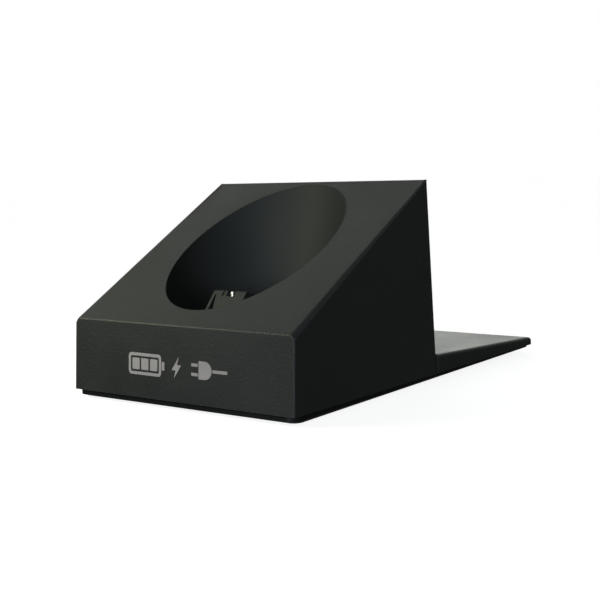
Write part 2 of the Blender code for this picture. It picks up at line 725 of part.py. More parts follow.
def tower_flange():
    bm = bmesh.new()
    low = (-8 * MM, TOWER_FRONT_FOOT_Y - 1.6 * MM, TOWER_FLANGE_BOTTOM)
    add_box(bm, low, (8 * MM, 0.6 * MM, TOWER_FLANGE_TOP))
    return bm


def tower_ears():
    bm = bmesh.new()
    ear_top = TOWER_FLANGE_TOP - 1.5 * MM
    low = (-13.4 * MM, BOARD_SCREW_Y - 2.4 * MM, TOWER_FLANGE_BOTTOM)
    add_box(bm, low, (13.4 * MM, BOARD_SCREW_Y + 2.4 * MM, ear_top))
    return bm


def tower_pillars():
    return board_screw_cylinders(2.2 * MM, BOARD_TOP + GAP, TOWER_FLANGE_BOTTOM + MM)


def blade_channels():
    """Under each blade a square spring pocket, and above it the channel that guides the blade."""
    pockets = bmesh.new()
    channels = bmesh.new()
    for side, x in BLADE_XS.items():
        pocket = 1.6 * MM
        depth = 2.6 * MM
        ceiling = BLADE_FOOT_TOP + GAP
        low = (x - pocket, BLADE_Y - depth, 2 * TOWER_FLANGE_BOTTOM)
        add_box(pockets, low, (x + pocket, BLADE_Y + depth, ceiling))
        half = BLADE_THICKNESS / 2 + GAP
        depth = BLADE_DEPTH / 2 + GAP
        top = BLADE_TOPS[side] + (GAP if side == "left" else 3 * MM)
        add_box(channels, (x - half, BLADE_Y - depth, ceiling - MM), (x + half, BLADE_Y + depth, top))
    return pockets, channels


def notch_cutters():
    """Two slots across the top, with a rib left between them."""
    low_z = TOWER_TOP - NOTCH_DEPTH
    front = TOWER_FRONT_FOOT_Y
    high_z = TOWER_TOP + MM
    narrow = bmesh.new()
    add_box(narrow, (NOTCH_LEFT, front, low_z), (NOTCH_RIB[0], NOTCH_REAR_Y, high_z))
    wide = bmesh.new()
    add_box(wide, (NOTCH_RIB[1], front, low_z), (NOTCH_RIGHT, NOTCH_REAR_Y, high_z))
    deep = bmesh.new()
    low = (0.5 * MM, BLADE_Y - 2 * MM, TOWER_TOP - 5 * MM)
    add_box(deep, low, (NOTCH_RIGHT - 0.1 * MM, NOTCH_REAR_Y - 0.1 * MM, high_z + MM))
    return narrow, wide, deep


def pointed_opening():
    """Tall triangle through the sloping front, into the left blade's channel."""
    bm = bmesh.new()
    left, apex_x, right = -5.0 * MM, -4.7 * MM, -2.9 * MM
    low, apex = 7.4 * MM, 14.4 * MM
    front, back = TOWER_FRONT_FOOT_Y, BLADE_Y
    triangle = [(left, low), (right, low), (apex_x, apex), (left, apex - MM)]
    add_rings(bm, [[(x, y, z) for x, z in triangle] for y in (front, back)])
    return bm


def make_tower(look, well_frame):
    tower = solid("contact_tower", tower_blank(), look, well_frame)
    join(
        tower,
        helper("tower_flange", tower_flange(), well_frame),
        helper("tower_ears", tower_ears(), well_frame),
        helper("tower_pillars", tower_pillars(), well_frame),
        solver="MANIFOLD",
    )
    pockets, channels = blade_channels()
    narrow, wide, deep = notch_cutters()
    screw_holes = board_screw_cylinders(1.2 * MM, -12 * MM, 0)
    cut(
        tower,
        helper("pointed_opening", pointed_opening(), well_frame),
        helper("notch_deep", deep, well_frame),
        helper("notch_wide", wide, well_frame),
        helper("notch_narrow", narrow, well_frame),
        helper("spring_pockets", pockets, well_frame),
        helper("blade_channels", channels, well_frame),
        helper("tower_screw_holes", screw_holes, well_frame),
        solver="MANIFOLD",
    )


def make_blade(side, look, well_frame):
    """The blade's origin is on its foot's underside, where its spring pushes."""
    base = BLADE_FOOT_TOP - BLADE_FOOT_HEIGHT
    half = BLADE_THICKNESS / 2
    foot_half = 1.3 * MM
    foot_depth = 2.3 * MM
    top = BLADE_TOPS[side] - base
    bm = bmesh.new()
    outline = [
        (-half, BLADE_FOOT_HEIGHT),
        (-half, top - 0.4 * MM),
        (-half + 0.35 * MM, top),
        (half - 0.35 * MM, top),
        (half, top - 0.4 * MM),
        (half, BLADE_FOOT_HEIGHT),
    ]
    add_rings(bm, [[(x, y, z) for x, z in outline] for y in (-BLADE_DEPTH / 2, BLADE_DEPTH / 2)])
    place = (BLADE_XS[side], BLADE_Y, base)
    blade = solid(f"contact_blade_{side}", bm, look, well_frame, place)
    foot = bmesh.new()
    low = (-foot_half, -foot_depth, 0)
    add_box(foot, low, (foot_half, foot_depth, BLADE_FOOT_HEIGHT + 0.05 * MM))
    join(blade, helper(f"blade_foot_{side}", foot, well_frame, place))


def spring_mesh(length):
    """Round wire wound in a helix with a closed turn at each end."""
    rise = length - 2 * SPRING_WIRE_RADIUS
    per_turn = 10
    sides = 5
    count = SPRING_TURNS * per_turn
    rings = []
    for i in range(count + 1):
        share = i / count
        flat = 1 / SPRING_TURNS
        climb = min(max((share - flat / 2) / (1 - flat), 0), 1)
        pitch_floor = 2.2 * SPRING_WIRE_RADIUS / rise
        lift = pitch_floor * (min(share, flat / 2) + max(share - 1 + flat / 2, 0)) / flat
        z = SPRING_WIRE_RADIUS + rise * (climb * (1 - pitch_floor) + lift)
        angle = 2 * math.pi * SPRING_TURNS * share
        outwards = Vector((math.cos(angle), math.sin(angle), 0))
        centre = outwards * SPRING_RADIUS + Vector((0, 0, z))
        ring = []
        for k in range(sides):
            turn = 2 * math.pi * k / sides
            ring.append(
                centre
                + outwards * (SPRING_WIRE_RADIUS * math.cos(turn))
                + Vector((0, 0, SPRING_WIRE_RADIUS * math.sin(turn)))
            )
        rings.append(ring)
    bm = bmesh.new()
    add_rings(bm, rings)
    return bm


def make_contacts(metal, well_frame):
    base = BLADE_FOOT_TOP - BLADE_FOOT_HEIGHT
    for side, x in BLADE_XS.items():
        make_blade(side, metal, well_frame)
        low = BOARD_TOP + GAP
        spring = spring_mesh(base - GAP - low)
        solid(f"contact_spring_{side}", spring, metal, well_frame, (x, BLADE_Y, low))


def make_board(looks, well_frame):
    low = (-14 * MM, -18 * MM, BOARD_TOP - BOARD_THICKNESS)
    bm = bmesh.new()
    add_box(bm, low, (14 * MM, 2.4 * MM, BOARD_TOP))
    board = solid("circuit_board", bm, looks["board"], well_frame)
    cut(board, helper("board_holes", board_screw_cylinders(1.2 * MM, -12 * MM, 0), well_frame))

    underside = BOARD_TOP - BOARD_THICKNESS - GAP
    can = bmesh.new()
    add_cylinder(can, 2.5 * MM, underside - 4.6 * MM, underside, chamfer_low=0.3 * MM)
    solid("smoothing_capacitor", can, looks["can"], well_frame, (-7 * MM, -14.4 * MM, 0))
    low = (3.5 * MM, -6 * MM, underside - 1.3 * MM)
    chip = rounded_box(low, (8.5 * MM, -2 * MM, underside), 0.15 * MM, 1)
    solid("regulator_chip", chip, looks["chip"], well_frame)
    low = (-4 * MM, -14 * MM, underside - 1.4 * MM)
    diode = rounded_box(low, (0, -11.6 * MM, underside), 0.2 * MM, 1)
    solid("rectifier_diode", diode, looks["chip"], well_frame)
    top = BOARD_TOP + GAP
    low = (8.6 * MM, -4.4 * MM, top)
    plug = rounded_box(low, (13.2 * MM, 1.8 * MM, top + 3.4 * MM), 0.25 * MM, 1)
    solid("lead_connector", plug, looks["connector"], well_frame)


# -------------------------------------------------------------------------------- leads


def lead_route(sign, well_frame):
    """From a tab of the inlet, round the right of the well, to the connector on the board.

    The two leads run side by side: one above the other at the inlet, and one behind the
    other at the connector.
    """
    tab_end = INLET_BODY_WIDTH / 2 + 2 * MM + 2 * GAP
    start = Vector((tab_end, INLET_FACE_Y - 4.5 * MM, INLET_Z))
    end = well_frame.matrix_world @ Vector((13.2 * MM + GAP, -1.3 * MM, BOARD_TOP + 2 * MM))
    along = [
        start,
        start + Vector((7 * MM, 0, 0)),
        Vector((26 * MM, FRONT_Y + 59 * MM, 12 * MM)),
        Vector((30.5 * MM, FRONT_Y + 50 * MM, 9 * MM)),
        Vector((31 * MM, FRONT_Y + 40 * MM, 8 * MM)),
        Vector((28 * MM, FRONT_Y + 30 * MM, 7.5 * MM)),
        end + Vector((7 * MM, 0, 0)),
        end,
    ]
    turned_over = 2  # segments at the connector's end
    points = []
    for i, point in enumerate(along):
        share = max(i + 1 + turned_over - len(along), 0) / turned_over
        turn = (math.pi / 2 + WELL_LEAN) * share
        aside = Vector((0, math.sin(turn), math.cos(turn)))
        points.append(point + aside * (sign * LEAD_SPACING / 2))
    return points


def smooth_path(points, steps):
    """A smooth curve through the points, as Bezier pieces with Catmull-Rom handles."""
    path = []
    for i in range(len(points) - 1):
        before = points[max(i - 1, 0)]
        start, end = points[i], points[i + 1]
        after = points[min(i + 2, len(points) - 1)]
        first = start + (end - before) / 6
        second = end - (after - start) / 6
        piece = interpolate_bezier(start, first, second, end, steps + 1)
        path.extend(piece if i == len(points) - 2 else piece[:-1])
    return path


def make_lead(name, sign, look, well_frame):
    path = smooth_path(lead_route(sign, well_frame), 5)
    data = bpy.data.curves.new(name, "CURVE")
    data.dimensions = "3D"
    data.bevel_depth = LEAD_RADIUS
    data.bevel_resolution = 2
    data.use_fill_caps = True
    spline = data.splines.new("POLY")
    spline.points.add(len(path) - 1)
    for point, place in zip(spline.points, path):
        point.co = (*place, 1.0)
    data.materials.append(look)
    lead = bpy.data.objects.new(name, data)
    bpy.context.scene.collection.objects.link(lead)


# ------------------------------------------------------------------------------ assembly


def make_well_frame():
    """Empty at the middle of the well's floor, with its z axis up the well."""
    frame = bpy.data.objects.new("well_frame", None)
    frame.location = (0, WELL_FLOOR_Y, WELL_FLOOR_Z)
    frame.rotation_euler.x = -WELL_LEAN
    bpy.context.scene.collection.objects.link(frame)
    bpy.context.view_layer.update()
    return frame


def main():
    clear_scene()
    case = material("case_plastic", (0.045, 0.047, 0.046), 0.5)
    pan = material("pan_plastic", (0.012, 0.012, 0.013), 0.55)
    insulator = material("insulator", (0.04, 0.042, 0.041), 0.5)
    jack = material("jack_plastic", (0.01, 0.01, 0.01), 0.4)
    nickel = material("nickel_plate", (0.75, 0.74, 0.7), 0.25, 1.0)
    zinc = material("zinc_steel", (0.55, 0.56, 0.58), 0.35, 1.0)
    rubber = material("foot_rubber", (0.02, 0.02, 0.02), 0.85)
    label = material("blank_label", (0.35, 0.36, 0.37), 0.45)
    looks = {
        "board": material("board_laminate", (0.02, 0.13, 0.05), 0.4),
        "can": material("capacitor_sleeve", (0.03, 0.04, 0.12), 0.35),
        "chip": material("chip_epoxy", (0.02, 0.02, 0.022), 0.5),
        "connector": material("connector_nylon", (0.8, 0.78, 0.7), 0.45),
    }
    well_frame = make_well_frame()
    make_housing(case, well_frame)
    make_tail_cover(case)
    make_base_pan(pan)
    make_tower(insulator, well_frame)
    make_contacts(nickel, well_frame)
    make_board(looks, well_frame)
    make_inlet(jack, nickel)
    make_lead("lead_red", 1, material("red_insulation", (0.5, 0.02, 0.02), 0.4), well_frame)
    make_lead("lead_black", -1, material("black_insulation", (0.02, 0.02, 0.02), 0.4), well_frame)
    make_ballast(zinc)
    make_screws(zinc, well_frame)
    make_feet(rubber)
    make_rating_plate(label)


main()
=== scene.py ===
"""Looks of the charging stand: materials, edge finish, the printed pictogram, light and camera."""

import json
import math

import bmesh
import bpy
from mathutils import Matrix, Vector


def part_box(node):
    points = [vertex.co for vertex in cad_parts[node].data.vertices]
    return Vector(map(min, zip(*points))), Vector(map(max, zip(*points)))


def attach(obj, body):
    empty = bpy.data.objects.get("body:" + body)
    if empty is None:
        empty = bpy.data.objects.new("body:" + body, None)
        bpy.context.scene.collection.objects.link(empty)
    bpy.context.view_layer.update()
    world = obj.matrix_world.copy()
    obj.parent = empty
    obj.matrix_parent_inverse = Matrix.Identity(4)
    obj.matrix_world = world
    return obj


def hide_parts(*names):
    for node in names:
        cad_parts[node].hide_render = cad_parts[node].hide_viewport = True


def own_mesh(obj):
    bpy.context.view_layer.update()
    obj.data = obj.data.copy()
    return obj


MM = 0.001

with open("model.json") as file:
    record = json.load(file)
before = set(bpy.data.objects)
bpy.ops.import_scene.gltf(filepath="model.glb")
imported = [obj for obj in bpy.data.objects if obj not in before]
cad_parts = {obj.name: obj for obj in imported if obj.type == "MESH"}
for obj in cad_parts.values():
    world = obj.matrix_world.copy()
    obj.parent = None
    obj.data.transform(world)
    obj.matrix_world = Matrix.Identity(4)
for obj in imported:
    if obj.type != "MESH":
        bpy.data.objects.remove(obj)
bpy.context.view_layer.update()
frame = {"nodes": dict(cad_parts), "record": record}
nodes = frame["nodes"]


# ------------------------------------------------------------------------------- camera

CAMERA_PLACE = (0.2047, -0.28557, 0.06253)
CAMERA_AZIMUTH = math.radians(36.751)
CAMERA_DOWN = math.radians(6.358)
CAMERA_ROLL = math.radians(-1.428)
CAMERA_LENS = 66.87  # mm, on a sensor 36 mm wide


def make_camera():
    """Stands a camera where the photographer's stood, turned by its three angles."""
    back = Vector(
        (
            math.sin(CAMERA_AZIMUTH) * math.cos(CAMERA_DOWN),
            -math.cos(CAMERA_AZIMUTH) * math.cos(CAMERA_DOWN),
            math.sin(CAMERA_DOWN),
        )
    )
    level = Vector((math.cos(CAMERA_AZIMUTH), math.sin(CAMERA_AZIMUTH), 0))
    upright = back.cross(level)
    right = level * math.cos(CAMERA_ROLL) + upright * math.sin(CAMERA_ROLL)
    up = back.cross(right)
    data = bpy.data.cameras.new("camera")
    data.sensor_width = 36.0
    data.lens = CAMERA_LENS
    data.clip_start = 0.01
    camera = bpy.data.objects.new("camera", data)
    turn = Matrix((right, up, back)).transposed().to_4x4()
    camera.matrix_world = Matrix.Translation(CAMERA_PLACE) @ turn
    bpy.context.scene.collection.objects.link(camera)
    bpy.context.scene.camera = camera


# ------------------------------------------------------------------ studio: light, floor


def node(tree, kind, **values):
    """A shader node; values set its properties, or its sockets by name."""
    made = tree.nodes.new(kind)
    for key, value in values.items():
        if hasattr(made, key):
            setattr(made, key, value)
        else:
            made.inputs[key.replace("_", " ")].default_value = value
    return made


def softbox(tree, ray, direction, tightness, colour, strength):
    """Light that comes from round one direction, wider for a low tightness."""
    dot = node(tree, "ShaderNodeVectorMath", operation="DOT_PRODUCT")
    tree.links.new(ray, dot.inputs[0])
    dot.inputs[1].default_value = Vector(direction).normalized()
    front = node(tree, "ShaderNodeMath", operation="MAXIMUM")
    tree.links.new(dot.outputs["Value"], front.inputs[0])
    front.inputs[1].default_value = 0.0
    lobe = node(tree, "ShaderNodeMath", operation="POWER")
    tree.links.new(front.outputs[0], lobe.inputs[0])
    lobe.inputs[1].default_value = tightness
    tint = node(tree, "ShaderNodeVectorMath", operation="SCALE")
    tint.inputs[0].default_value = [c * strength for c in colour]
    tree.links.new(lobe.outputs[0], tint.inputs["Scale"])
    return tint.outputs[0]


SOFTBOXES = (
    # towards the light, tightness, colour, strength
    ((-0.60, 0.80, 0.12), 9.0, (0.99, 1.03, 0.97), 2.5),
    ((-0.50, 0.55, 0.65), 2.5, (1.0, 1.0, 0.92), 0.14),
    ((0.85, -0.15, 0.40), 12.0, (0.88, 1.0, 1.08), 0.55),
)
AMBIENT = 0.025
BACKDROP = 1.0


def make_world():
    """White behind the stand as the camera sees it, and softboxes as the stand sees it."""
    world = bpy.data.worlds.new("studio")
    bpy.context.scene.world = world
    world.use_nodes = True
    tree = world.node_tree
    tree.nodes.clear()
    place = node(tree, "ShaderNodeTexCoord")
    total = None
    for box in SOFTBOXES:
        added = node(tree, "ShaderNodeVectorMath", operation="ADD")
        if total:
            tree.links.new(total, added.inputs[0])
        else:
            added.inputs[0].default_value = (AMBIENT, AMBIENT, AMBIENT)
        tree.links.new(softbox(tree, place.outputs["Generated"], *box), added.inputs[1])
        total = added.outputs[0]
    path = node(tree, "ShaderNodeLightPath")
    studio = node(tree, "ShaderNodeBackground")
    tree.links.new(total, studio.inputs["Color"])
    seen = node(tree, "ShaderNodeBackground", Color=(1, 1, 1, 1), Strength=BACKDROP)
    choice = node(tree, "ShaderNodeMixShader")
    tree.links.new(path.outputs["Is Camera Ray"], choice.inputs[0])
    tree.links.new(studio.outputs[0], choice.inputs[1])
    tree.links.new(seen.outputs[0], choice.inputs[2])
    output = node(tree, "ShaderNodeOutputWorld")
    tree.links.new(choice.outputs[0], output.inputs[0])
    bpy.context.scene.view_settings.view_transform = "Standard"


LAMPS = (
    # name, place, aims at, size, watts, colour
    ("front_lamp", (0.14, -0.60, 0.05), (0, -0.03, 0.03), 0.24, 1.27, (0.82, 0.96, 1.07)),
    ("top_lamp", (-0.115, -0.16, 0.115), (-0.04, -0.07, 0.01), 0.09, 0.14, (0.99, 1.0, 0.76)),
)


def make_lamps():
    """Round area lamps that light the front, the slanted face and the well."""
    for name, place, aim, size, watts, colour in LAMPS:
        data = bpy.data.lights.new(name, "AREA")
        data.shape = "DISK"
        data.size = size
        data.energy = watts
        data.color = colour
        lamp = bpy.data.objects.new(name, data)
        lamp.location = place
        lamp.rotation_euler = (Vector(aim) - Vector(place)).to_track_quat("-Z", "Y").to_euler()
        lamp.visible_camera = False
        bpy.context.scene.collection.objects.link(lamp)


FLOOR_RADIUS = 12.0
FLOOR_DROP = 0.02 * MM  # keeps the floor clear of the feet's undersides
FLOOR_GREY = 0.6
FLOOR_GLOW = 0.88


def make_floor():
    """A wide pale disc. It takes the stand's shadow and throws no light back at it."""
    bm = bmesh.new()
    bmesh.ops.create_circle(bm, cap_ends=True, segments=96, radius=FLOOR_RADIUS)
    mesh = bpy.data.meshes.new("floor")
    bm.to_mesh(mesh)
    bm.free()
    floor = bpy.data.objects.new("floor", mesh)
    bpy.context.scene.collection.objects.link(floor)
    floor.visible_diffuse = False
    floor.visible_glossy = False
    look = bpy.data.materials.new("floor")
    look.use_nodes = True
    shader = look.node_tree.nodes["Principled BSDF"]
    shader.inputs["Base Color"].default_value = (FLOOR_GREY, FLOOR_GREY, FLOOR_GREY, 1)
    shader.inputs["Roughness"].default_value = 1.0
    shader.inputs["Specular IOR Level"].default_value = 0.0
    shader.inputs["Emission Color"].default_value = (1, 1, 1, 1)
    shader.inputs["Emission Strength"].default_value = FLOOR_GLOW
    mesh.materials.append(look)
    floor.location.z = -FLOOR_DROP


# ---------------------------------------------------------------------------- materials

WEAR_WIDTH = 0.25 * MM
WEAR_TURN = (0.98, 0.85)  # cosine between face and rounded normal: wear begins, wear is full
GRAIN_DEPTH = 0.13 * MM
METAL_MARK_DEPTH = 0.02 * MM
CLOUD_SCALE = 38.0
CLOUD_RANGE = (0.3, 0.7)
CLOUD_SHADES = (0.9, 1.1)
METAL_SHADES = (0.75, 1.1)


def remap(tree, value, before, after):
    """The value, stretched from one (low, high) to another and kept within it."""
    made = node(tree, "ShaderNodeMapRange", clamp=True)
    made.inputs["From Min"].default_value, made.inputs["From Max"].default_value = before
    made.inputs["To Min"].default_value, made.inputs["To Max"].default_value = after
    tree.links.new(value, made.inputs["Value"])
    return made.outputs[0]


def shaded(tree, colour, shade):
    """One colour, made lighter or darker by a socket."""
    made = node(tree, "ShaderNodeVectorMath", operation="SCALE")
    made.inputs[0].default_value = colour
    tree.links.new(shade, made.inputs["Scale"])
    return made.outputs[0]


def roughened(tree, height, strength, depth):
    """Gives the shader a bump from a height socket."""
    bump = node(tree, "ShaderNodeBump", Strength=strength, Distance=depth)
    tree.links.new(height, bump.inputs["Height"])
    shader = tree.nodes["Principled BSDF"]
    tree.links.new(bump.outputs[0], shader.inputs["Normal"])


def worn_edges(tree, wear):
    """0 on flat faces, up to wear on edges, where the rounded normal turns from the face."""
    facing = node(tree, "ShaderNodeNewGeometry")
    softened = node(tree, "ShaderNodeBevel", samples=4)
    softened.inputs["Radius"].default_value = WEAR_WIDTH
    turn = node(tree, "ShaderNodeVectorMath", operation="DOT_PRODUCT")
    tree.links.new(facing.outputs["Normal"], turn.inputs[0])
    tree.links.new(softened.outputs[0], turn.inputs[1])
    return remap(tree, turn.outputs["Value"], WEAR_TURN, (0, wear))


def plastic(name, colour, roughness, grain, relief, specular=0.5, wear=0.12):
    """Moulded plastic: spark-eroded grain, cloudy colour, and edges rubbed a little lighter."""
    look = bpy.data.materials.new(name)
    look.use_nodes = True
    tree = look.node_tree
    shader = tree.nodes["Principled BSDF"]
    shader.inputs["Specular IOR Level"].default_value = specular
    place = node(tree, "ShaderNodeTexCoord")

    cloud = node(tree, "ShaderNodeTexNoise", Scale=CLOUD_SCALE, Detail=4.0, Roughness=0.6)
    tree.links.new(place.outputs["Object"], cloud.inputs["Vector"])
    shade = remap(tree, cloud.outputs["Fac"], CLOUD_RANGE, CLOUD_SHADES)
    paint = node(tree, "ShaderNodeMix", data_type="RGBA")
    tree.links.new(worn_edges(tree, wear), paint.inputs["Factor"])
    tree.links.new(shaded(tree, colour, shade), paint.inputs["A"])
    paint.inputs["B"].default_value = (*[min(4 * c + 0.06, 1) for c in colour], 1)
    tree.links.new(paint.outputs["Result"], shader.inputs["Base Color"])

    pits = node(tree, "ShaderNodeTexNoise", Scale=grain, Detail=3.0, Roughness=0.65)
    tree.links.new(place.outputs["Object"], pits.inputs["Vector"])
    roughened(tree, pits.outputs["Fac"], relief, GRAIN_DEPTH)
    gloss = (roughness - 0.05, roughness + 0.05)
    matte = remap(tree, cloud.outputs["Fac"], CLOUD_RANGE, gloss)
    tree.links.new(matte, shader.inputs["Roughness"])
    return look


WELL_LEAN = math.radians(15.0)
WELL_MIDDLE_Y = 28.75 * MM  # of its floor, behind the housing's front lower edge
WELL_FLOOR_Z = 11.0 * MM  # above the housing's lower edge
WELL_RADIUS_X = 24.85 * MM
WELL_RADIUS_Y = 23.94 * MM
WELL_BORDER = (1.012, 1.003)  # in radii: grained outside the first, smooth inside the second
WELL_ROUGHNESS = 0.6
WELL_SPECULAR = 0.36
WELL_RELIEF = 0.3


def smooth_well(look):
    """Gives the well's wall a finer finish than the faces round it."""
    tree = look.node_tree
    shader = tree.nodes["Principled BSDF"]
    place = node(tree, "ShaderNodeTexCoord")
    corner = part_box("upper_housing")[0]
    middle = (0, corner.y + WELL_MIDDLE_Y, corner.z + WELL_FLOOR_Z)
    in_radii = node(tree, "ShaderNodeMapping", vector_type="TEXTURE")
    in_radii.inputs["Location"].default_value = middle
    in_radii.inputs["Rotation"].default_value = (-WELL_LEAN, 0, 0)
    in_radii.inputs["Scale"].default_value = (WELL_RADIUS_X, WELL_RADIUS_Y, 1)
    tree.links.new(place.outputs["Object"], in_radii.inputs["Vector"])
    across = node(tree, "ShaderNodeVectorMath", operation="MULTIPLY")
    across.inputs[1].default_value = (1, 1, 0)
    tree.links.new(in_radii.outputs[0], across.inputs[0])
    span = node(tree, "ShaderNodeVectorMath", operation="LENGTH")
    tree.links.new(across.outputs[0], span.inputs[0])
    inside = remap(tree, span.outputs["Value"], WELL_BORDER, (0, 1))

    outside = shader.inputs["Roughness"].links[0].from_socket
    mixed = node(tree, "ShaderNodeMix", data_type="FLOAT")
    tree.links.new(inside, mixed.inputs["Factor"])
    tree.links.new(outside, mixed.inputs["A"])
    mixed.inputs["B"].default_value = WELL_ROUGHNESS
    tree.links.new(mixed.outputs["Result"], shader.inputs["Roughness"])
    bump = shader.inputs["Normal"].links[0].from_node
    for socket, value in (
        (shader.inputs["Specular IOR Level"], WELL_SPECULAR),
        (bump.inputs["Strength"], WELL_RELIEF),
    ):
        tree.links.new(remap(tree, inside, (0, 1), (socket.default_value, value)), socket)
    return look


def metal(name, colour, roughness, stretch=(1, 1, 1), grain=900.0):
    """Bare or plated metal with drawn or tumbled marks that run along the stretched axis."""
    look = bpy.data.materials.new(name)
    look.use_nodes = True
    tree = look.node_tree
    shader = tree.nodes["Principled BSDF"]
    shader.inputs["Metallic"].default_value = 1.0
    place = node(tree, "ShaderNodeTexCoord")
    scale = node(tree, "ShaderNodeMapping", Scale=stretch)
    tree.links.new(place.outputs["Object"], scale.inputs["Vector"])
    marks = node(tree, "ShaderNodeTexNoise", Scale=grain, Detail=4.0)
    tree.links.new(scale.outputs[0], marks.inputs["Vector"])
    shade = remap(tree, marks.outputs["Fac"], (0, 1), METAL_SHADES)
    tree.links.new(shaded(tree, colour, shade), shader.inputs["Base Color"])
    gloss = remap(tree, marks.outputs["Fac"], (0, 1), (roughness - 0.08, roughness + 0.12))
    tree.links.new(gloss, shader.inputs["Roughness"])
    roughened(tree, marks.outputs["Fac"], 0.2, METAL_MARK_DEPTH)
    return look


RESIST_GREEN = (0.012, 0.1, 0.035)


def laminate(name):
    """Green solder resist over copper tracks that show as a slightly lighter pattern."""
    look = plastic(name, RESIST_GREEN, 0.35, 2500.0, 0.1, wear=0.0)
    tree = look.node_tree
    shader = tree.nodes["Principled BSDF"]
    place = node(tree, "ShaderNodeTexCoord")
    tracks = node(tree, "ShaderNodeTexBrick", Scale=260.0)
    tracks.inputs["Color1"].default_value = (*RESIST_GREEN, 1)
    tracks.inputs["Color2"].default_value = (0.014, 0.11, 0.04, 1)
    tracks.inputs["Mortar"].default_value = (0.035, 0.2, 0.08, 1)
    tracks.inputs["Mortar Size"].default_value = 0.03
    tree.links.new(place.outputs["Object"], tracks.inputs["Vector"])
    tree.links.new(tracks.outputs["Color"], shader.inputs["Base Color"])
    return look


def printed_ink(name):
    """Light grey print, a little uneven in its cover."""
    return plastic(name, (0.52, 0.47, 0.465), 0.42, 2600.0, 0.15, wear=0.0)


LOOKS = {
    "case_plastic": lambda n: plastic(n, (0.034, 0.036, 0.034), 0.48, 1500.0, 1.0),
    "pan_plastic": lambda n: plastic(n, (0.010, 0.010, 0.011), 0.5, 2600.0, 0.25, 0.35),
    "insulator": lambda n: plastic(n, (0.04, 0.042, 0.04), 0.45, 4200.0, 0.12),
    "jack_plastic": lambda n: plastic(n, (0.01, 0.01, 0.01), 0.35, 5000.0, 0.08),
    "foot_rubber": lambda n: plastic(n, (0.018, 0.018, 0.018), 0.85, 1800.0, 0.35, 0.3),
    "blank_label": lambda n: metal(n, (0.42, 0.43, 0.44), 0.45, (1, 0.04, 1), 2400.0),
    "chip_epoxy": lambda n: plastic(n, (0.02, 0.02, 0.021), 0.55, 6000.0, 0.2),
    "capacitor_sleeve": lambda n: plastic(n, (0.02, 0.03, 0.10), 0.3, 900.0, 0.1),
    "connector_nylon": lambda n: plastic(n, (0.78, 0.75, 0.66), 0.45, 1500.0, 0.08),
    "red_insulation": lambda n: plastic(n, (0.42, 0.015, 0.012), 0.4, 1500.0, 0.1),
    "black_insulation": lambda n: plastic(n, (0.014, 0.014, 0.014), 0.4, 1500.0, 0.1),
    "board_laminate": laminate,
    "nickel_plate": lambda n: metal(n, (0.55, 0.57, 0.6), 0.34, (1, 1, 0.1)),
    "zinc_steel": lambda n: metal(n, (0.56, 0.57, 0.6), 0.35),
    "spring_steel": lambda n: metal(n, (0.6, 0.6, 0.6), 0.3, (1, 1, 0.2)),
}


# ------------------------------------------------------------------------ edge finishing

EDGE_RADII = {
    "upper_housing": 0.35 * MM,
    "tail_cover": 0.25 * MM,
    "base_pan": 0.25 * MM,
    "contact_tower": 0.15 * MM,
    "contact_blade_centre": 0.12 * MM,
    "contact_blade_left": 0.12 * MM,
    "inlet_jack": 0.15 * MM,
    "ballast_plate": 0.2 * MM,
    "circuit_board": 0.1 * MM,
    "rating_plate": 0.05 * MM,
}
SMALL_EDGE_RADIUS = 0.06 * MM  # of the pieces not named above
WELD_REACH = 0.002 * MM
FLAT_ANGLE = math.radians(0.5)
HARD_EDGE_ANGLE = math.radians(40)


def weld_and_smooth(piece):
    """Joins the corners of the CAD mesh and drops the normals that came with it."""
    mesh = piece.data
    for attribute in ("custom_normal", "sharp_edge", "sharp_face"):
        if attribute in mesh.attributes:
            mesh.attributes.remove(mesh.attributes[attribute])
    mesh.shade_smooth()
    weld = piece.modifiers.new("weld", "WELD")
    weld.merge_threshold = WELD_REACH


def finish_edges(name):
    """Rounds a CAD piece's hard edges with modifiers, and shades it smooth."""
    piece = nodes[name]
    weld_and_smooth(piece)
    flat = piece.modifiers.new("dissolve", "DECIMATE")
    flat.decimate_type = "DISSOLVE"
    flat.angle_limit = FLAT_ANGLE
    bevel = piece.modifiers.new("edges", "BEVEL")
    bevel.width = EDGE_RADII.get(name, SMALL_EDGE_RADIUS)
    bevel.segments = 3
    bevel.limit_method = "ANGLE"
    bevel.angle_limit = HARD_EDGE_ANGLE
    bevel.harden_normals = True
    normals = piece.modifiers.new("normals", "WEIGHTED_NORMAL")
    normals.weight = 50
    normals.keep_sharp = True


def dress_nodes():
    """Gives each CAD piece its material and edges, and returns the materials by slot."""
    slots = {s["node"]: s["material_slot"] for s in frame["record"]["subparts"]}
    made = {}
    for name, piece in nodes.items():
        slot = slots[name]
        if slot not in made:
            made[slot] = LOOKS[slot](slot)
        look = made[slot]
        if name == "upper_housing":
            look = smooth_well(LOOKS[slot]("case_plastic_with_well"))
        piece.data.materials.clear()
        piece.data.materials.append(look)
        finish_edges(name)
    return made


# ------------------------------------------------------------------------ contact springs


def make_springs(look):
    """Round-wire coils in the place of the rigid springs."""
    for side in ("centre", "left"):
        rigid = nodes[f"contact_spring_{side}"]
        coil = bpy.data.objects.new(f"coil_spring_{side}", rigid.data.copy())
        coil.matrix_world = rigid.matrix_world.copy()
        bpy.context.scene.collection.objects.link(coil)
        coil.data.materials.clear()
        coil.data.materials.append(look)
        weld_and_smooth(coil)
        wire = coil.modifiers.new("wire", "SUBSURF")
        wire.levels = 1
        wire.render_levels = 1
        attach(coil, "stand")
        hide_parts(f"contact_spring_{side}")
        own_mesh(coil)


# --------------------------------------------------------------------- printed pictogram

